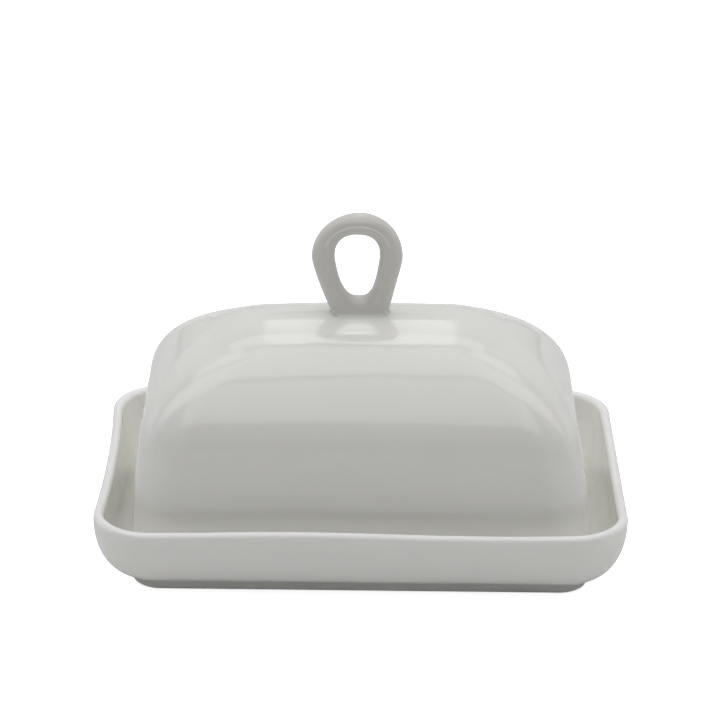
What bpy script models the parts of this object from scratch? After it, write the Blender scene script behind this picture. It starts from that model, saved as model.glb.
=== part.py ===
"""Butter dish: a footed tray, a hollow hipped cover and the loop handle luted on to its roof.

Frame: +Z up, +X along the dish, origin on the table under the middle of the tray.
The driving sizes are in millimetres; a mesh is turned into metres as it is made.
"""

import math

import bmesh
import bpy

MM = 0.001
CORNER_STEPS = 7  # flats round each plan corner

# Tray
TRAY_LENGTH = 190.0
TRAY_WIDTH = 130.0
RIM_HEIGHT = 29.0
RIM_CORNER = 19.8  # plan radius of the rim's corners
CORNER_TIGHTENING = 0.7  # plan radius lost for each millimetre of inset
LIP_RADIUS = 1.8
WALL_SWEEP = 15.1  # how far the outer wall curves in between the lip and the foot
WALL_FULLNESS = 2.2  # 2 is an elliptical wall; more is fuller between lip and foot
WALL_FOOT_Z = 4.7
FOOT_INSET = 13.4
FOOT_BEVEL = 1.5
FOOT_BEVEL_Z = 0.8
FOOT_FILLET = 2.6  # how far the soft turn from the foot reaches up the wall
FOOT_RING = 5.0
RECESS_Z = 1.6
RECESS_SLOPE = 2.0
FLOOR_Z = 7.0
FLOOR_INSET = 13.2
TRAY_WALL_STEPS = 9

# Cover
REST_GAP = 0.3  # clearance that keeps resting pieces apart
COVER_LENGTH = 165.6
COVER_WIDTH = 101.0
COVER_BASE_Z = FLOOR_Z + REST_GAP
COVER_TOP_Z = 86.9
COVER_CORNER = 15.0
CORNER_OPENING = 0.25  # plan radius gained for each millimetre of inset
SHOULDER_Z = 51.5
WALL_DRAFT = 4.2  # inset of the wall at the shoulder
DRAFT_POWER = 1.6
ROOF_POWER = 1.92  # 2 is a true ellipse; a little less is flatter on the hips
COVER_WALL = 4.0
RIDGE_HALF_WIDTH = 1.6  # where the roof's last ring is closed by a flat cap
COVER_SHIFT = 0.7  # the cover sits a little to the right of the tray's middle
COVER_LEAN = -0.03  # and its crown slumped a little to the left in the kiln
COVER_WALL_STEPS = 5
ROOF_STEPS = 13

# Loop handle
BAR_RADIUS = 4.0
LOOP_WIDEST_Z = 108.5
LOOP_TOP_Z = 125.0
LOOP_HALF_WIDTH = 16.35
LEG_SLANT = 0.31
LEG_BEND = 2.6  # how gently the legs leave the vertical
LEG_EASE = 2.4  # steps the legs closely near the widest point of the loop
HOLE_HALF_WIDTH = 8.05
HOLE_TOP_Z = 117.0
HOLE_BOTTOM_Z = 93.3
HOLE_TAPER = 0.14
HOLE_SQUARENESS = 3.0  # 2 is round; more is squarer towards the web
HOLE_CROWN = 2.4
BLANK_BOTTOM_Z = 80.0  # the untrimmed handle reaches below the roof
BLANK_SQUARENESS = 6.0
HANDLE_X = -2.2
HANDLE_BOW = 0.0028  # sideways bow of the loop for each square millimetre of height
LOOP_STEPS = 44
SECTION_STEPS = 12

GLAZE_COLOUR = (0.80, 0.80, 0.77, 1.0)
GLAZE_ROUGHNESS = 0.12


def clear_scene():
    for thing in list(bpy.data.objects):
        bpy.data.objects.remove(thing, do_unlink=True)


def glaze(name):
    material = bpy.data.materials.new(name)
    material.use_nodes = True
    shader = material.node_tree.nodes["Principled BSDF"]
    shader.inputs["Base Color"].default_value = GLAZE_COLOUR
    shader.inputs["Roughness"].default_value = GLAZE_ROUGHNESS
    shader.inputs["Metallic"].default_value = 0.0
    return material


def add_piece(name, bm):
    """Turn a closed bmesh in millimetres into a smooth-shaded object in metres."""
    bmesh.ops.recalc_face_normals(bm, faces=bm.faces)
    bmesh.ops.scale(bm, vec=(MM, MM, MM), verts=bm.verts)
    mesh = bpy.data.meshes.new(name)
    bm.to_mesh(mesh)
    bm.free()
    mesh.shade_smooth()
    mesh.set_sharp_from_angle(angle=math.radians(50))
    mesh.materials.append(glaze(name + "_glaze"))
    piece = bpy.data.objects.new(name, mesh)
    bpy.context.collection.objects.link(piece)
    return piece


def rounded_rectangle(half_x, half_y, radius, middle_x, z):
    """Points of a level rounded rectangle, counter-clockwise from its right side."""
    points = []
    for quarter in range(4):
        sign_x = 1 if quarter in (0, 3) else -1
        sign_y = 1 if quarter in (0, 1) else -1
        for step in range(CORNER_STEPS + 1):
            angle = math.pi / 2 * (quarter + step / CORNER_STEPS)
            x = sign_x * (half_x - radius) + radius * math.cos(angle)
            y = sign_y * (half_y - radius) + radius * math.sin(angle)
            points.append((middle_x + x, y, z))
    return points


def skin_rings(bm, rings):
    """Join a run of rings with quads and close its first and last ring."""
    loops = [[bm.verts.new(point) for point in ring] for ring in rings]
    count = len(loops[0])
    for near, far in zip(loops, loops[1:]):
        for i in range(count):
            j = (i + 1) % count
            bm.faces.new((near[i], near[j], far[j], far[i]))
    bm.faces.new(loops[0])
    bm.faces.new(loops[-1])


def wall_point(angle):
    """(inset, z) on the tray's outer wall; angle 0 is under the lip."""
    lip_z = RIM_HEIGHT - LIP_RADIUS
    inset = WALL_SWEEP * (1 - math.cos(angle) ** (2 / WALL_FULLNESS))
    return inset, lip_z - (lip_z - WALL_FOOT_Z) * math.sin(angle) ** (2 / WALL_FULLNESS)


def wall_angle(inset):
    return math.acos((1 - inset / WALL_SWEEP) ** (WALL_FULLNESS / 2))


def tray_profile():
    """(inset, z) from the middle of the underside, up the outside and down to the floor."""
    profile = [
        (FOOT_INSET + FOOT_BEVEL + FOOT_RING + RECESS_SLOPE, RECESS_Z),
        (FOOT_INSET + FOOT_BEVEL + FOOT_RING, 0.0),
        (FOOT_INSET + FOOT_BEVEL, 0.0),
        (FOOT_INSET, FOOT_BEVEL_Z),
    ]
    lip_z = RIM_HEIGHT - LIP_RADIUS
    turn_z = wall_point(wall_angle(FOOT_INSET))[1]
    fillet_top = wall_angle(FOOT_INSET - FOOT_FILLET)
    top_inset, top_z = wall_point(fillet_top)
    profile.append((FOOT_INSET, turn_z - FOOT_FILLET / 2))
    profile.append(((top_inset + 3 * FOOT_INSET) / 4, (top_z + 3 * turn_z) / 4 - FOOT_FILLET / 8))
    for step in range(TRAY_WALL_STEPS):
        profile.append(wall_point(fillet_top * (1 - step / TRAY_WALL_STEPS)))
    for step in range(7):
        angle = math.pi * step / 6
        profile.append((LIP_RADIUS * (1 - math.cos(angle)), lip_z + LIP_RADIUS * math.sin(angle)))
    inner_sweep = FLOOR_INSET - 2 * LIP_RADIUS
    for step in range(1, TRAY_WALL_STEPS + 1):
        angle = math.pi / 2 * step / TRAY_WALL_STEPS
        inset = 2 * LIP_RADIUS + inner_sweep * (1 - math.cos(angle))
        profile.append((inset, lip_z - (lip_z - FLOOR_Z) * math.sin(angle)))
    return profile


def make_tray():
    bm = bmesh.new()
    rings = []
    for inset, z in tray_profile():
        radius = RIM_CORNER - CORNER_TIGHTENING * inset
        rings.append(rounded_rectangle(TRAY_LENGTH / 2 - inset, TRAY_WIDTH / 2 - inset, radius, 0.0, z))
    skin_rings(bm, rings)
    return add_piece("tray", bm)


def cover_profile():
    """(inset, z) up the cover's outside, from above its foot to beside its ridge."""
    profile = []
    bottom_z = COVER_BASE_Z + COVER_WALL / 2
    for step in range(COVER_WALL_STEPS):
        z = bottom_z + (SHOULDER_Z - bottom_z) * step / COVER_WALL_STEPS
        profile.append((WALL_DRAFT * ((z - bottom_z) / (SHOULDER_Z - bottom_z)) ** DRAFT_POWER, z))
    draft = DRAFT_POWER * WALL_DRAFT / (SHOULDER_Z - bottom_z)
    roof_height = COVER_TOP_Z - SHOULDER_Z
    roof_inset = COVER_WIDTH / 2 - WALL_DRAFT - draft * roof_height
    last_angle = math.acos((RIDGE_HALF_WIDTH / roof_inset) ** (ROOF_POWER / 2))
    for step in range(ROOF_STEPS + 1):
        angle = last_angle * step / ROOF_STEPS
        rise = roof_height * math.sin(angle) ** (2 / ROOF_POWER)
        inset = roof_inset * (1 - math.cos(angle) ** (2 / ROOF_POWER))
        profile.append((WALL_DRAFT + draft * rise + inset, SHOULDER_Z + rise))
    return profile


def cover_ring(inset, z, radius):
    half_x = COVER_LENGTH / 2 - inset
    half_y = COVER_WIDTH / 2 - inset
    middle_x = COVER_SHIFT + COVER_LEAN * (z - COVER_BASE_Z)
    return rounded_rectangle(half_x, half_y, min(radius, 0.97 * half_y), middle_x, z)


def make_cover():
    """The roof keeps one inset all round at each height, so it hips towards a short ridge."""
    outside = cover_profile()
    outer = [cover_ring(inset, z, COVER_CORNER + CORNER_OPENING * inset) for inset, z in outside]
    inner = []
    for i, (inset, z) in enumerate(outside):
        before = outside[max(i - 1, 0)]
        after = outside[min(i + 1, len(outside) - 1)]
        run = after[0] - before[0]
        rise = after[1] - before[1]
        level = COVER_WALL * rise / math.hypot(run, rise)
        drop = COVER_WALL * run / math.hypot(run, rise)
        inner_inset = min(inset + level, COVER_WIDTH / 2 - RIDGE_HALF_WIDTH)
        radius = COVER_CORNER + CORNER_OPENING * inset - level
        inner.append(cover_ring(inner_inset, z - drop, radius))
    foot = []
    for step in range(1, 6):
        angle = math.pi * step / 6
        inset = COVER_WALL / 2 * (1 - math.cos(angle))
        z = COVER_BASE_Z + COVER_WALL / 2 * (1 - math.sin(angle))
        foot.append(cover_ring(inset, z, COVER_CORNER - inset))
    bm = bmesh.new()
    skin_rings(bm, outer[::-1] + foot + inner)
    return add_piece("cover", bm)


def loop_outline(angle):
    """Outer and hole points (x, z) of the loop at one turn angle, 0 at its right side."""
    across = math.cos(angle)
    up = math.sin(angle)
    side = math.copysign(1.0, across)
    if up >= 0:
        outer = (LOOP_HALF_WIDTH * across, LOOP_WIDEST_Z + (LOOP_TOP_Z - LOOP_WIDEST_Z) * up)
        crown = up ** (2 / HOLE_CROWN)
        spread = side * abs(across) ** (2 / HOLE_CROWN)
        hole = (HOLE_HALF_WIDTH * spread, LOOP_WIDEST_Z + (HOLE_TOP_Z - LOOP_WIDEST_Z) * crown)
        return outer, hole
    eased = math.pi / 2 * (math.asin(min(1.0, -up)) / (math.pi / 2)) ** LEG_EASE
    up = -math.sin(eased)
    across = math.cos(eased)
    drop = (LOOP_WIDEST_Z - BLANK_BOTTOM_Z) * (-up) ** (2 / BLANK_SQUARENESS)
    leg = LOOP_HALF_WIDTH - LEG_SLANT * (math.hypot(drop, LEG_BEND) - LEG_BEND)
    outer = (side * leg * max(0.0, across) ** (2 / BLANK_SQUARENESS), LOOP_WIDEST_Z - drop)
    drop = (LOOP_WIDEST_Z - HOLE_BOTTOM_Z) * (-up) ** (2 / HOLE_SQUARENESS)
    half = HOLE_HALF_WIDTH - HOLE_TAPER * drop
    hole = (side * half * max(0.0, across) ** (2 / HOLE_SQUARENESS), LOOP_WIDEST_Z - drop)
    return outer, hole


def make_loop_handle():
    """A ring of stadium-shaped sections, trimmed level just above the cover's ridge."""
    bm = bmesh.new()
    sections = []
    for turn in range(LOOP_STEPS):
        outer, hole = loop_outline(2 * math.pi * turn / LOOP_STEPS)
        run = outer[0] - hole[0]
        rise = outer[1] - hole[1]
        length = math.hypot(run, rise)
        radius = min(BAR_RADIUS, length / 2)
        section = []
        for step in range(SECTION_STEPS):
            angle = 2 * math.pi * (step + 0.5) / SECTION_STEPS
            straight = math.copysign(length / 2 - radius, math.cos(angle))
            along = length / 2 + straight + radius * math.cos(angle)
            x = hole[0] + run * along / length
            z = hole[1] + rise * along / length
            bow = HANDLE_X + HANDLE_BOW * (z - LOOP_WIDEST_Z) ** 2
            section.append(bm.verts.new((x + bow, radius * math.sin(angle), z)))
        sections.append(section)
    for turn, section in enumerate(sections):
        following = sections[(turn + 1) % LOOP_STEPS]
        for i in range(SECTION_STEPS):
            j = (i + 1) % SECTION_STEPS
            bm.faces.new((section[i], section[j], following[j], following[i]))
    trim_z = COVER_TOP_Z + REST_GAP
    everything = list(bm.verts) + list(bm.edges) + list(bm.faces)
    bmesh.ops.bisect_plane(
        bm, geom=everything, dist=1e-5, plane_co=(0, 0, trim_z), plane_no=(0, 0, 1), clear_inner=True
    )
    rim = [edge for edge in bm.edges if edge.is_boundary]
    bmesh.ops.contextual_create(bm, geom=rim)
    return add_piece("loop_handle", bm)


def main():
    clear_scene()
    make_tray()
    make_cover()
    make_loop_handle()


main()
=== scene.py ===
"""Looks of the butter dish: glazed porcelain tray, cover and loop handle in a soft daylight studio."""

import math

import bmesh
import bpy
from mathutils import Matrix, Vector, noise


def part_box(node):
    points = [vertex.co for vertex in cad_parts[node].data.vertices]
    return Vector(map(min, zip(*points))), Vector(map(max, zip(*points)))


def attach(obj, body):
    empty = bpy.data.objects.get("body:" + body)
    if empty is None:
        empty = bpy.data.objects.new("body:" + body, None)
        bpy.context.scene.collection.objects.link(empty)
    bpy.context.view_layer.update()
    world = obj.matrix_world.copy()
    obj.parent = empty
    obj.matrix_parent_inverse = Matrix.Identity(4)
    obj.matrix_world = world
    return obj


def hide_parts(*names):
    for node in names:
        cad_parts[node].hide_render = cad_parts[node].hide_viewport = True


MM = 0.001

# Tray section, in millimetres from the rim's outside inwards and from the table up
RIM_CORNER = 19.8
CORNER_TIGHTENING = 0.7
LIP_RADIUS = 1.8
WALL_SWEEP = 15.1
WALL_FULLNESS = 2.2
WALL_FOOT_Z = 4.7
FOOT_INSET = 13.4
FOOT_BEVEL = 1.5
FOOT_ROUND = 0.8
FOOT_ROUND_Z = 1.4
FOOT_FILLET = 2.6
FOOT_RING = 5.0
RECESS_Z = 1.6
RECESS_SLOPE = 2.0
RECESS_LEDGE = 1.0
FLOOR_Z = 7.0
FLOOR_INSET = 13.2
FOOT_THINNING = 0.6
SMALLEST_CORNER = 2.0

# Kiln set of the tray
LEFT_BOW = 1.45
LEFT_BOW_Y = -3.0
LEFT_BOW_REACH = 46.0
LEFT_BOW_ENDS = (40.0, 90.0)
RIM_WAVE = 0.4
RIM_WAVE_X = -18.0
RIM_WAVE_LENGTH = 120.0
RIM_WAVE_ENDS = (20.0, 60.0)
TRAY_FIRM_Z = 24.0
TRAY_UNEVEN = 0.12
TRAY_UNEVEN_FINENESS = 0.022
TRAY_UNEVEN_START = Vector((3.1, 7.7, 1.3))

# Cover section
COVER_CORNER = 15.0
CORNER_OPENING = 0.25
SHOULDER_Z = 51.5
WALL_DRAFT = 4.2
DRAFT_POWER = 1.6
ROOF_POWER = 1.92
COVER_WALL = 4.0
FOOT_BARE_ARC = (0.55, 2.6)
LARGEST_CORNER_SHARE = 0.97
INSIDE_POOLING = 0.5
RIDGE_HALF_WIDTH = 0.25
COVER_SHIFT = 0.7
COVER_LEAN = -0.03

# Kiln set of the cover
SHOULDER_SAG = 0.9
SHOULDER_SAG_X = -45.0
SHOULDER_SAG_REACH = 22.0
CROWN_RISE = 0.3
CROWN_REACH = 26.0
ROOF_SETTLE = (SHOULDER_Z + 5.0, 80.0)
COVER_UNEVEN = 0.15
COVER_UNEVEN_FINENESS = 0.03
COVER_UNEVEN_START = Vector((11.2, 2.9, 5.3))
COVER_UNEVEN_ENDS = (10.0, 40.0)

# Loop handle
BAR_RADIUS = 4.0
LOOP_WIDEST_Z = 108.5
LOOP_TOP_Z = 125.0
LOOP_HALF_WIDTH = 16.35
LEG_SLANT = 0.31
LEG_BEND = 2.6
LEG_EASE = 2.4
HOLE_HALF_WIDTH = 8.05
HOLE_TOP_Z = 117.0
HOLE_BOTTOM_Z = 93.3
HOLE_TAPER = 0.14
HOLE_SQUARENESS = 3.0
HOLE_CROWN = 2.4
BLANK_BOTTOM_Z = 80.0
BLANK_SQUARENESS = 6.0
HANDLE_X = -2.2
HANDLE_BOW = 0.0028
FILLET = 1.3
LUTING_DEPTH = 1.2

# Fineness of the visible meshes
CORNER_STEPS = 18
LONG_SIDE_STEPS = 40
SHORT_SIDE_STEPS = 26
ARC_STEPS = 16
WALL_STEPS = 34
ROOF_STEPS = 60
LOOP_STEPS = 220
END_STEPS = 14
WEB_STEPS = 38
RECESS_STEPS = 6
RING_STEPS = 5
FOOT_STEPS = 8
FILLET_STEPS = 10
FLOOR_STEPS = 11
FLOOR_RING_GAP = 4.0
FLOOR_POOL_RINGS = 4

CAMERA_ELEVATION = 23.5
CAMERA_DISTANCE = 1062.0
CAMERA_TARGET = Vector((-0.8, 0.0, 68.0))
CAMERA_LENS = 145.9
CAMERA_ROLL = 0.65

FLOOR_SIZE = 8.0
FLOOR_ALBEDO = 0.8
FLOOR_ROUGHNESS = 0.9
FLOOR_GLOW = 0.8

# Light tent: degrees from the front horizon over the top, spread from 0 at the middle to 1 at the ends
PANEL_SOFTNESS = 2.0
SPREAD_SOFTNESS = 0.1
MAIN_SPREAD = (-1.0, 0.4)
STRIP_SPREAD = (-1.0, 0.05)
SIDE_SPREAD = (0.5, 0.75)
END_SPREAD = (0.85, 1.1)
FRONT_SCRIM = (35.0, 75.0)
TOP_BOX = (80.0, 105.0)
BACK_BOX = (110.0, 120.0)
BACK_STRIP = (110.0, 140.0)
BACK_WALL = (125.0, 185.0)
TENT_PANELS = (
    (FRONT_SCRIM, MAIN_SPREAD, 1.3),
    (TOP_BOX, MAIN_SPREAD, 1.6),
    (TOP_BOX, SIDE_SPREAD, 1.5),
    (TOP_BOX, END_SPREAD, 1.0),
    (BACK_BOX, MAIN_SPREAD, 1.5),
    (BACK_STRIP, STRIP_SPREAD, 1.6),
    (BACK_WALL, MAIN_SPREAD, 0.5),
    (BACK_WALL, SIDE_SPREAD, 0.5),
    (BACK_WALL, END_SPREAD, 1.0),
)


def length_mm(node, axis):
    low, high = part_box(node)
    return (high[axis] - low[axis]) / MM


# ---------------------------------------------------------------- meshes


def corner_ring(half_x, half_y, radius):
    """Points of a rounded rectangle with evenly stepped corners and sides."""
    points = []
    middles = ((1, 1), (-1, 1), (-1, -1), (1, -1))
    for quarter, (sign_x, sign_y) in enumerate(middles):
        centre_x = sign_x * (half_x - radius)
        centre_y = sign_y * (half_y - radius)
        for step in range(CORNER_STEPS + 1):
            angle = math.pi / 2 * (quarter + step / CORNER_STEPS)
            points.append((centre_x + radius * math.cos(angle), centre_y + radius * math.sin(angle)))
        sides = LONG_SIDE_STEPS if quarter % 2 == 0 else SHORT_SIDE_STEPS
        next_x = middles[(quarter + 1) % 4][0] * (half_x - radius)
        next_y = middles[(quarter + 1) % 4][1] * (half_y - radius)
        start = points[-1]
        turn = math.pi / 2 * (quarter + 1)
        end = (next_x + radius * math.cos(turn), next_y + radius * math.sin(turn))
        for step in range(1, sides):
            part = step / sides
            points.append((start[0] + (end[0] - start[0]) * part, start[1] + (end[1] - start[1]) * part))
    return points


def skin(name, rings, marks, settle):
    """Close a run of rings into one smooth piece; marks give each ring its glaze values, a painted lip
    highlight among them.
    """
    bm = bmesh.new()
    layers = {key: bm.verts.layers.float.new(key) for key in marks[0]}
    loops = []
    for ring, mark in zip(rings, marks):
        loop = []
        for point in ring:
            vertex = bm.verts.new(settle(Vector(point)) * MM)
            for key, layer in layers.items():
                vertex[layer] = mark[key]
            loop.append(vertex)
        loops.append(loop)
    count = len(loops[0])
    for near, far in zip(loops, loops[1:]):
        for i in range(count):
            j = (i + 1) % count
            bm.faces.new((near[i], near[j], far[j], far[i]))
    bm.faces.new(loops[0])
    bm.faces.new(loops[-1])
    bmesh.ops.recalc_face_normals(bm, faces=bm.faces)
    return as_piece(name, bm)


def as_piece(name, bm):
    mesh = bpy.data.meshes.new(name)
    bm.to_mesh(mesh)
    bm.free()
    mesh.shade_smooth()
    piece = bpy.data.objects.new(name, mesh)
    bpy.context.collection.objects.link(piece)
    return piece


def wall_point(angle, lip_z):
    """(inset, z) on the tray's outer wall; angle 0 is under the lip."""
    inset = WALL_SWEEP * (1 - math.cos(angle) ** (2 / WALL_FULLNESS))
    return inset, lip_z - (lip_z - WALL_FOOT_Z) * math.sin(angle) ** (2 / WALL_FULLNESS)


def wall_height(inset, lip_z):
    angle = math.acos((1 - inset / WALL_SWEEP) ** (WALL_FULLNESS / 2))
    return wall_point(angle, lip_z)[1]


def tray_section():
    """(inset, z, glaze marks with a painted lip highlight) up the outside, over the lip and down to the
    floor.
    """
    section = []

    def add(inset, z, bare=0.0, pool=0.0, thin_glaze_and_lip_highlight=0.0):
        section.append((inset, z, {"bare": bare, "pool": pool, "thin_glaze_and_lip_highlight": thin_glaze_and_lip_highlight}))

    ring_inner = FOOT_INSET + FOOT_BEVEL + FOOT_RING
    add(ring_inner + RECESS_SLOPE + RECESS_LEDGE, RECESS_Z)
    for step in range(RECESS_STEPS + 1):
        angle = math.pi / 2 * step / RECESS_STEPS
        z = RECESS_Z * (1 - math.sin(angle))
        bare = float(step > RECESS_STEPS - 2)
        add(ring_inner + RECESS_SLOPE * math.cos(angle), z, bare=bare, pool=math.sin(2 * angle))
    for step in range(1, RING_STEPS + 1):
        add(ring_inner - (FOOT_RING - FOOT_ROUND) * step / RING_STEPS, 0.0, bare=1.0)
    for step in range(FOOT_STEPS + 1):
        angle = math.pi / 2 * step / FOOT_STEPS
        inset = FOOT_INSET + FOOT_ROUND + FOOT_BEVEL - (FOOT_ROUND + FOOT_BEVEL) * math.sin(angle)
        bare = float(step < FOOT_STEPS / 2)
        add(inset, FOOT_ROUND_Z * (1 - math.cos(angle)), bare=bare, thin_glaze_and_lip_highlight=FOOT_THINNING)
    lip_z = length_mm("tray", 2) - LIP_RADIUS
    fillet_low = (FOOT_INSET, wall_height(FOOT_INSET, lip_z) - FOOT_FILLET / 2)
    fillet_turn = (FOOT_INSET, wall_height(FOOT_INSET, lip_z))
    fillet_high = (FOOT_INSET - FOOT_FILLET, wall_height(FOOT_INSET - FOOT_FILLET, lip_z))
    for step in range(FILLET_STEPS):
        part = step / FILLET_STEPS
        weights = ((1 - part) ** 2, 2 * part * (1 - part), part ** 2)
        corners = (fillet_low, fillet_turn, fillet_high)
        inset, z = (sum(w * corner[i] for w, corner in zip(weights, corners)) for i in range(2))
        add(inset, z, pool=math.sin(math.pi * part))
    top_angle = math.acos((1 - (FOOT_INSET - FOOT_FILLET) / WALL_SWEEP) ** (WALL_FULLNESS / 2))
    for step in range(WALL_STEPS):
        inset, z = wall_point(top_angle * (1 - step / WALL_STEPS), lip_z)
        add(inset, z)
    for step in range(ARC_STEPS + 1):
        angle = math.pi * step / ARC_STEPS
        inset = LIP_RADIUS * (1 - math.cos(angle))
        # Over the lip the thin-glaze mark peaks at the top: thinner glaze there, and a painted highlight.
        add(inset, lip_z + LIP_RADIUS * math.sin(angle), thin_glaze_and_lip_highlight=math.sin(angle))
    inner_sweep = FLOOR_INSET - 2 * LIP_RADIUS
    for step in range(1, WALL_STEPS + 1):
        part = step / WALL_STEPS
        angle = math.pi / 2 * part
        inset = 2 * LIP_RADIUS + inner_sweep * (1 - math.cos(angle))
        add(inset, lip_z - (lip_z - FLOOR_Z) * math.sin(angle), pool=part ** 3)
    for step in range(1, FLOOR_STEPS + 1):
        add(FLOOR_INSET + FLOOR_RING_GAP * step, FLOOR_Z, pool=max(0.0, 1 - step / FLOOR_POOL_RINGS))
    return section


def ramp(value, low, high):
    """0 below low, 1 above high, easing between them."""
    part = min(1.0, max(0.0, (value - low) / (high - low)))
    return part * part * (3 - 2 * part)


def tray_settle(point):
    """Kiln set of the tray: its left end bows in, its front rim waves and its walls are a little uneven."""
    lift = ramp(point.z, WALL_FOOT_Z, TRAY_FIRM_Z)
    bow = LEFT_BOW * max(0.0, 1 - ((point.y - LEFT_BOW_Y) / LEFT_BOW_REACH) ** 2)
    bow *= ramp(-point.x, *LEFT_BOW_ENDS)
    wave = RIM_WAVE * math.cos(2 * math.pi * (point.x - RIM_WAVE_X) / RIM_WAVE_LENGTH)
    wave *= ramp(-point.y, *RIM_WAVE_ENDS)
    uneven = TRAY_UNEVEN * noise.noise(point * TRAY_UNEVEN_FINENESS + TRAY_UNEVEN_START)
    return point + Vector((bow, 0.0, wave + uneven)) * lift


def make_tray():
    half_x = length_mm("tray", 0) / 2
    half_y = length_mm("tray", 1) / 2
    rings = []
    marks = []
    for inset, z, mark in tray_section():
        radius = max(SMALLEST_CORNER, RIM_CORNER - CORNER_TIGHTENING * inset)
        flat = corner_ring(half_x - inset, half_y - inset, radius)
        rings.append([(x, y, z) for x, y in flat])
        marks.append(mark)
    return skin("tray_shell", rings, marks, tray_settle)


def cover_outside(half_y, base_z, top_z):
    """(inset, z) up the cover's outside, from above its foot to its ridge."""
    section = []
    bottom_z = base_z + COVER_WALL / 2
    for step in range(WALL_STEPS):
        part = step / WALL_STEPS
        section.append((WALL_DRAFT * part ** DRAFT_POWER, bottom_z + (SHOULDER_Z - bottom_z) * part))
    draft = DRAFT_POWER * WALL_DRAFT / (SHOULDER_Z - bottom_z)
    height = top_z - SHOULDER_Z
    run = half_y - WALL_DRAFT - draft * height
    last_angle = math.acos((RIDGE_HALF_WIDTH / run) ** (ROOF_POWER / 2))
    for step in range(ROOF_STEPS + 1):
        angle = last_angle * step / ROOF_STEPS
        rise = height * math.sin(angle) ** (2 / ROOF_POWER)
        inset = run * (1 - math.cos(angle) ** (2 / ROOF_POWER))
        section.append((WALL_DRAFT + draft * rise + inset, SHOULDER_Z + rise))
    return section


def cover_settle(point):
    """Kiln set of the cover: its left shoulder sags, its crown stands up, its walls are a little uneven."""
    roof = ramp(point.z, *ROOF_SETTLE)
    sag = SHOULDER_SAG * math.exp(-(((point.x - SHOULDER_SAG_X) / SHOULDER_SAG_REACH) ** 2))
    crown = CROWN_RISE * math.exp(-((point.x / CROWN_REACH) ** 2))
    clear = ramp(point.z, *COVER_UNEVEN_ENDS)
    uneven = COVER_UNEVEN * noise.noise(point * COVER_UNEVEN_FINENESS + COVER_UNEVEN_START)
    return point + Vector((0.0, uneven * clear, (crown - sag) * roof))


def make_cover():
    low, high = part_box("cover")
    half_x = length_mm("cover", 0) / 2
    half_y = length_mm("cover", 1) / 2
    base_z = low[2] / MM
    outside = cover_outside(half_y, base_z, high[2] / MM)
    rows = []
    for inset, z in reversed(outside):
        rows.append((inset, z, COVER_CORNER + CORNER_OPENING * inset, 0.0, 0.0))
    for step in range(1, ARC_STEPS):
        angle = math.pi * step / ARC_STEPS
        inset = COVER_WALL / 2 * (1 - math.cos(angle))
        z = base_z + COVER_WALL / 2 * (1 - math.sin(angle))
        bare = float(FOOT_BARE_ARC[0] < angle < FOOT_BARE_ARC[1])
        rows.append((inset, z, COVER_CORNER - inset, bare, 0.0))
    for i, (inset, z) in enumerate(outside):
        before = outside[max(i - 1, 0)]
        after = outside[min(i + 1, len(outside) - 1)]
        slope = math.hypot(after[0] - before[0], after[1] - before[1])
        level = COVER_WALL * (after[1] - before[1]) / slope
        drop = COVER_WALL * (after[0] - before[0]) / slope
        inner = min(inset + level, half_y - RIDGE_HALF_WIDTH)
        rows.append((inner, z - drop, COVER_CORNER + CORNER_OPENING * inset - level, 0.0, INSIDE_POOLING))
    rings = []
    marks = []
    for inset, z, radius, bare, pool in rows:
        level_x = half_x - inset
        level_y = half_y - inset
        lean = COVER_SHIFT + COVER_LEAN * (z - base_z)
        flat = corner_ring(level_x, level_y, min(radius, LARGEST_CORNER_SHARE * level_y))
        rings.append([(x + lean, y, z) for x, y in flat])
        marks.append({"bare": bare, "pool": pool, "thin_glaze_and_lip_highlight": 0.0})
    return skin("cover_shell", rings, marks, cover_settle)


def loop_outline(angle):
    """Outer and hole points (x, z) of the loop at one turn angle, 0 at its right side."""
    across = math.cos(angle)
    up = math.sin(angle)
    side = math.copysign(1.0, across)
    if up >= 0:
        outer = Vector((LOOP_HALF_WIDTH * across, LOOP_WIDEST_Z + (LOOP_TOP_Z - LOOP_WIDEST_Z) * up))
        crown = up ** (2 / HOLE_CROWN)
        spread = side * abs(across) ** (2 / HOLE_CROWN)
        hole = Vector((HOLE_HALF_WIDTH * spread, LOOP_WIDEST_Z + (HOLE_TOP_Z - LOOP_WIDEST_Z) * crown))
        return outer, hole
    eased = math.pi / 2 * (math.asin(min(1.0, -up)) / (math.pi / 2)) ** LEG_EASE
    up = -math.sin(eased)
    across = math.cos(eased)
    drop = (LOOP_WIDEST_Z - BLANK_BOTTOM_Z) * (-up) ** (2 / BLANK_SQUARENESS)
    leg = LOOP_HALF_WIDTH - LEG_SLANT * (math.hypot(drop, LEG_BEND) - LEG_BEND)
    outer = Vector((side * leg * max(0.0, across) ** (2 / BLANK_SQUARENESS), LOOP_WIDEST_Z - drop))
    drop = (LOOP_WIDEST_Z - HOLE_BOTTOM_Z) * (-up) ** (2 / HOLE_SQUARENESS)
    half = HOLE_HALF_WIDTH - HOLE_TAPER * drop
    hole = Vector((side * half * max(0.0, across) ** (2 / HOLE_SQUARENESS), LOOP_WIDEST_Z - drop))
    return outer, hole


def stadium(length):
    """(along, deep) points round a stadium as long as the bar is wide, in order."""
    radius = min(BAR_RADIUS, length / 2)
    reach = length / 2 - radius
    points = []
    for side in (1, -1):
        for step in range(END_STEPS + 1):
            angle = math.pi * (step / END_STEPS - 0.5)
            points.append((side * (reach + radius * math.cos(angle)), side * radius * math.sin(angle)))
        for step in range(1, WEB_STEPS):
            points.append((side * reach * (1 - 2 * step / WEB_STEPS), side * radius))
    return points


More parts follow.
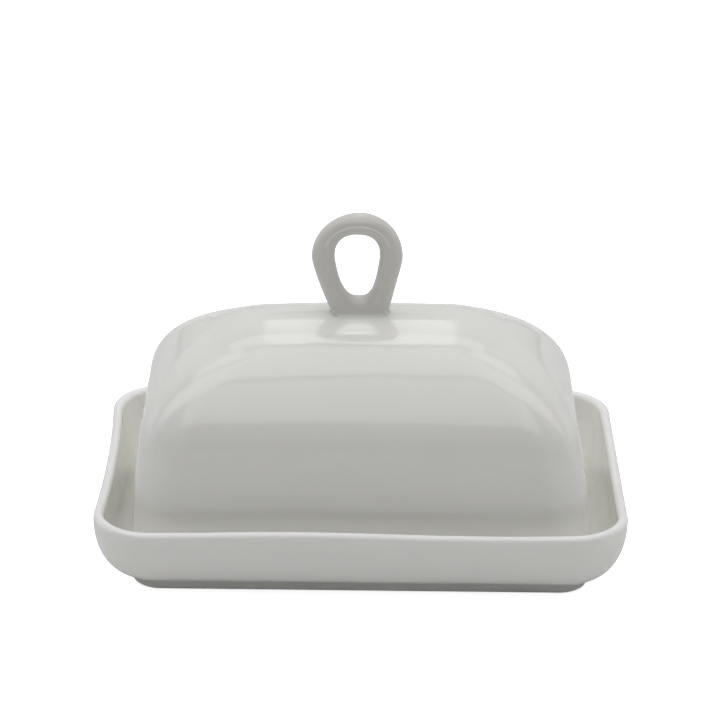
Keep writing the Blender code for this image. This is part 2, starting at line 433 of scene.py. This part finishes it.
def make_handle(roof_z):
    bm = bmesh.new()
    pool = bm.verts.layers.float.new("pool")
    bm.verts.layers.float.new("bare")
    bm.verts.layers.float.new("thin_glaze_and_lip_highlight")
    sections = []
    for turn in range(LOOP_STEPS):
        outer, hole = loop_outline(2 * math.pi * turn / LOOP_STEPS)
        middle = (outer + hole) / 2
        across = (outer - hole).normalized()
        section = []
        for along, deep in stadium((outer - hole).length):
            flat = middle + across * along
            bow = HANDLE_X + HANDLE_BOW * (flat.y - LOOP_WIDEST_Z) ** 2
            section.append(bm.verts.new((flat.x + bow, deep, flat.y)))
        sections.append(section)
    count = len(sections[0])
    for turn, section in enumerate(sections):
        following = sections[(turn + 1) % LOOP_STEPS]
        for i in range(count):
            j = (i + 1) % count
            bm.faces.new((section[i], section[j], following[j], following[i]))
    bmesh.ops.recalc_face_normals(bm, faces=bm.faces)
    everything = list(bm.verts) + list(bm.edges) + list(bm.faces)
    bmesh.ops.bisect_plane(
        bm, geom=everything, dist=1e-5, clear_inner=True,
        plane_co=(0, 0, roof_z - LUTING_DEPTH), plane_no=(0, 0, 1),
    )
    bm.normal_update()
    moves = []
    for vertex in bm.verts:
        height = vertex.co.z - roof_z
        if height < FILLET:
            rest = min(1.0, 1 - height / FILLET)
            flare = FILLET * (1 - math.sqrt(max(0.0, 1 - rest * rest)))
            level = Vector((vertex.normal.x, vertex.normal.y, 0.0)).normalized()
            moves.append((vertex, level * flare))
        vertex[pool] = max(0.0, 1 - abs(height) / (2 * FILLET))
    for vertex, move in moves:
        vertex.co += move
    rim = [edge for edge in bm.edges if edge.is_boundary]
    bmesh.ops.contextual_create(bm, geom=rim)
    bmesh.ops.scale(bm, vec=(MM, MM, MM), verts=bm.verts)
    bmesh.ops.recalc_face_normals(bm, faces=bm.faces)
    return as_piece("handle_loop", bm)


# ---------------------------------------------------------------- finishes


class Wire:
    """A number that varies over a surface; sums with it add Math nodes."""

    def __init__(self, finish, socket):
        self.finish = finish
        self.socket = socket

    def math(self, operation, first, second):
        node = self.finish.node("ShaderNodeMath", {"operation": operation}, {0: first, 1: second})
        return Wire(self.finish, node.outputs[0])

    def __add__(self, other):
        return self.math("ADD", self, other)

    def __radd__(self, other):
        return self.math("ADD", other, self)

    def __rsub__(self, other):
        return self.math("SUBTRACT", other, self)

    def __mul__(self, other):
        return self.math("MULTIPLY", self, other)

    def __rmul__(self, other):
        return self.math("MULTIPLY", other, self)


class Graph:
    """A node tree under construction."""

    def __init__(self, owner, shader):
        owner.use_nodes = True
        self.tree = owner.node_tree
        self.shader = self.tree.nodes[shader]

    def node(self, kind, settings, sockets):
        node = self.tree.nodes.new(kind)
        for key, value in settings.items():
            setattr(node, key, value)
        for key, value in sockets.items():
            self.feed(node.inputs[key], value)
        return node

    def feed(self, socket, value):
        if isinstance(value, Wire):
            value = value.socket
        if isinstance(value, bpy.types.NodeSocket):
            self.tree.links.new(value, socket)
        else:
            socket.default_value = value

    def step(self, value, high, low):
        """0 above high, 1 below low, and a smooth ramp between them."""
        settings = {"interpolation_type": "SMOOTHSTEP"}
        sockets = {"Value": value, "From Min": low, "From Max": high, "To Min": 1.0, "To Max": 0.0}
        return Wire(self, self.node("ShaderNodeMapRange", settings, sockets).outputs["Result"])

    def band(self, value, low, high, soft):
        """1 between low and high, falling to 0 over the soft width at each edge."""
        return self.step(value, high + soft, high) * (1 - self.step(value, low, low - soft))


class Finish(Graph):
    """A material under construction."""

    def __init__(self, name):
        self.material = bpy.data.materials.new(name)
        super().__init__(self.material, "Principled BSDF")

    def place(self):
        return self.node("ShaderNodeTexCoord", {}, {}).outputs["Object"]

    def mark(self, name):
        return Wire(self, self.node("ShaderNodeAttribute", {"attribute_name": name}, {}).outputs["Fac"])

    def grain(self, scale, detail=2.0, roughness=0.5):
        sockets = {"Vector": self.place(), "Scale": scale, "Detail": detail, "Roughness": roughness}
        return Wire(self, self.node("ShaderNodeTexNoise", {}, sockets).outputs["Fac"])

    def specks(self, scale, size):
        """Tiny round specks, 1 inside a speck and 0 outside."""
        sockets = {"Vector": self.place(), "Scale": scale}
        cells = self.node("ShaderNodeTexVoronoi", {"feature": "F1"}, sockets)
        near = self.step(cells.outputs["Distance"], size, size * 0.5)
        chosen = self.node("ShaderNodeSeparateColor", {}, {"Color": cells.outputs["Color"]})
        return near * self.step(chosen.outputs["Red"], SPECK_SHARE, SPECK_SHARE / 2)

    def mix(self, factor, first, second):
        settings = {"data_type": "RGBA"}
        node = self.node("ShaderNodeMix", settings, {})
        self.feed(node.inputs[0], factor)
        self.feed(node.inputs[6], first)
        self.feed(node.inputs[7], second)
        return node.outputs[2]

    def bump(self, height, strength, distance, below=None):
        sockets = {"Height": height, "Strength": strength, "Distance": distance}
        if below is not None:
            sockets["Normal"] = below
        return self.node("ShaderNodeBump", {}, sockets).outputs["Normal"]


GLAZE = (0.90, 0.895, 0.86, 1.0)
GLAZE_POOLED = (0.895, 0.905, 0.84, 1.0)
# Whiter glaze where it runs thin; on the lip this whiteness is also a painted highlight.
THIN_GLAZE_AND_LIP_HIGHLIGHT = (0.955, 0.95, 0.935, 1.0)
# The tray's glaze is a lighter copy of the cover's: painted light that brightens its walls, lip and inside.
TRAY_GLAZE_PAINTED_LIGHTER = (0.94, 0.935, 0.90, 1.0)
# The handle's glaze is a darker copy of the cover's: painted shade that darkens the whole loop.
HANDLE_GLAZE_PAINTED_SHADE = (0.74, 0.73, 0.695, 1.0)
BISCUIT = (0.74, 0.72, 0.67, 1.0)
IRON_SPECK = (0.16, 0.13, 0.10, 1.0)
THIN_GLAZE_AND_HIGHLIGHT_COVERAGE = 0.8
CLOUD_SCALE = 28.0
POOL_LEAST = 0.75
POOL_CLOUDING = 0.5
SPECK_SCALE = 90.0
SPECK_SIZE = 0.035
SPECK_SHARE = 0.04
SPECK_STRENGTH = 0.55
BISCUIT_SCALE = 2600.0
BISCUIT_ROUGHNESS = 0.55
BISCUIT_GRAINING = 0.2
GLOSS = 0.07
GLOSS_CLOUDING = 0.05
GLAZE_IOR = 1.52

# Light that the white body lets through: its share, its reach by colour and its depth in metres
BODY_GLOW = 0.3
BODY_REACH = (1.0, 0.95, 0.85)
BODY_DEPTH = 0.004

# Grain scale, strength and height in metres of the glaze's slow ripple, its fine peel and the biscuit's grit
RIPPLE = (55.0, 0.12, 0.002)
PEEL = (420.0, 0.03, 0.0006)
GRIT = (0.4, 0.0002)


# The glaze colour passed in carries painted light on the tray and painted shade on the handle.
def porcelain(name, glaze=GLAZE):
    """Clear gloss glaze over white porcelain, bare where the piece stood in the kiln."""
    finish = Finish(name)
    cloud = finish.grain(CLOUD_SCALE, 3.0)
    pool = finish.mark("pool") * (POOL_LEAST + POOL_CLOUDING * cloud)
    colour = finish.mix(pool, glaze, GLAZE_POOLED)
    # Thin glaze whitens the foot; on the lip the same mix paints a highlight.
    colour = finish.mix(finish.mark("thin_glaze_and_lip_highlight") * THIN_GLAZE_AND_HIGHLIGHT_COVERAGE, colour, THIN_GLAZE_AND_LIP_HIGHLIGHT)
    speck = finish.specks(SPECK_SCALE, SPECK_SIZE)
    colour = finish.mix(speck * SPECK_STRENGTH, colour, IRON_SPECK)
    bare = finish.mark("bare")
    biscuit_grain = finish.grain(BISCUIT_SCALE, 3.0)
    colour = finish.mix(bare, colour, BISCUIT)
    finish.feed(finish.shader.inputs["Base Color"], colour)
    gloss = GLOSS + GLOSS_CLOUDING * cloud
    matt = bare * (BISCUIT_ROUGHNESS + BISCUIT_GRAINING * biscuit_grain)
    finish.feed(finish.shader.inputs["Roughness"], gloss + matt)
    ripple = finish.bump(finish.grain(RIPPLE[0], 1.0), *RIPPLE[1:])
    peel = finish.bump(finish.grain(PEEL[0], 1.0), *PEEL[1:], ripple)
    grit = finish.bump(biscuit_grain * bare, *GRIT, peel)
    finish.feed(finish.shader.inputs["Normal"], grit)
    finish.shader.inputs["IOR"].default_value = GLAZE_IOR
    finish.shader.inputs["Subsurface Weight"].default_value = BODY_GLOW
    finish.shader.inputs["Subsurface Radius"].default_value = BODY_REACH
    finish.shader.inputs["Subsurface Scale"].default_value = BODY_DEPTH
    return finish.material


# ---------------------------------------------------------------- studio


def add_camera():
    """Long-lens view from the front, a little above the table."""
    elevation = math.radians(CAMERA_ELEVATION)
    data = bpy.data.cameras.new("camera")
    data.lens = CAMERA_LENS
    data.clip_start = 0.01
    camera = bpy.data.objects.new("camera", data)
    bpy.context.collection.objects.link(camera)
    back = Vector((0.0, -math.cos(elevation), math.sin(elevation)))
    place = (CAMERA_TARGET + CAMERA_DISTANCE * back) * MM
    tilt = Matrix.Rotation(math.pi / 2 - elevation, 4, "X")
    roll = Matrix.Rotation(math.radians(CAMERA_ROLL), 4, "Z")
    camera.matrix_world = Matrix.Translation(place) @ (tilt @ roll)
    bpy.context.scene.camera = camera


def add_floor():
    """A pale table. Only the camera sees its own glow, so it looks white without lighting the dish."""
    bpy.ops.mesh.primitive_plane_add(size=FLOOR_SIZE, location=(0.0, 0.0, 0.0))
    floor = bpy.context.object
    floor.name = "floor"
    surface = Finish("pale_floor")
    surface.shader.inputs["Base Color"].default_value = (FLOOR_ALBEDO, FLOOR_ALBEDO, FLOOR_ALBEDO, 1.0)
    surface.shader.inputs["Roughness"].default_value = FLOOR_ROUGHNESS
    surface.shader.inputs["Emission Color"].default_value = (1.0, 1.0, 1.0, 1.0)
    seen = surface.node("ShaderNodeLightPath", {}, {}).outputs["Is Camera Ray"]
    surface.feed(surface.shader.inputs["Emission Strength"], Wire(surface, seen) * FLOOR_GLOW)
    floor.data.materials.append(surface.material)


def add_tent():
    """Light tent round the dish, dark on the camera's side. Panels run across it, so each has
    a low and a high edge counted in degrees from the front horizon over the top to the back one."""
    world = bpy.data.worlds.new("light_tent")
    bpy.context.scene.world = world
    tent = Graph(world, "Background")
    direction = tent.node("ShaderNodeTexCoord", {}, {}).outputs["Generated"]
    parts = tent.node("ShaderNodeSeparateXYZ", {}, {0: direction})
    side = Wire(tent, parts.outputs["X"])
    front = Wire(tent, parts.outputs["Y"]) * -1.0
    up = Wire(tent, parts.outputs["Z"])
    over = side.math("ARCTAN2", up, front) * math.degrees(1)
    spread = side.math("ABSOLUTE", side, 0.0)
    light = 0.0
    for (low, high), (inner, outer), radiance in TENT_PANELS:
        across = tent.band(spread, inner, outer, SPREAD_SOFTNESS)
        light = light + radiance * tent.band(over, low, high, PANEL_SOFTNESS) * across
    tent.feed(tent.shader.inputs["Color"], (1.0, 1.0, 1.0, 1.0))
    tent.feed(tent.shader.inputs["Strength"], light)
    view = bpy.context.scene.view_settings
    view.view_transform = "Standard"
    view.look = "None"


# ---------------------------------------------------------------- assembly

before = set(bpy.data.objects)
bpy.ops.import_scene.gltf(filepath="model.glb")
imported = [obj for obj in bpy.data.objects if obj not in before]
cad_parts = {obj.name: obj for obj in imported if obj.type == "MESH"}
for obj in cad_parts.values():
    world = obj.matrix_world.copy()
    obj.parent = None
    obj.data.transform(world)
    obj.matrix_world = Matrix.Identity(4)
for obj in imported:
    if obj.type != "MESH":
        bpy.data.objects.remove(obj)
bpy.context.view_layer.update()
add_camera()
add_floor()
add_tent()

tray = make_tray()
# The tray wears the lighter copy of the glaze, painted light.
tray.data.materials.append(porcelain("tray_glaze_painted_lighter_over_porcelain", TRAY_GLAZE_PAINTED_LIGHTER))
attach(tray, "tray")
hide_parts("tray")

cover = make_cover()
cover.data.materials.append(porcelain("cover_glaze_over_porcelain"))
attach(cover, "cover")
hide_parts("cover")

handle = make_handle(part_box("cover")[1][2] / MM)
# The handle wears the darker copy of the glaze, painted shade.
handle.data.materials.append(porcelain("handle_glaze_painted_shade_over_porcelain", HANDLE_GLAZE_PAINTED_SHADE))
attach(handle, "cover")
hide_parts("loop_handle")
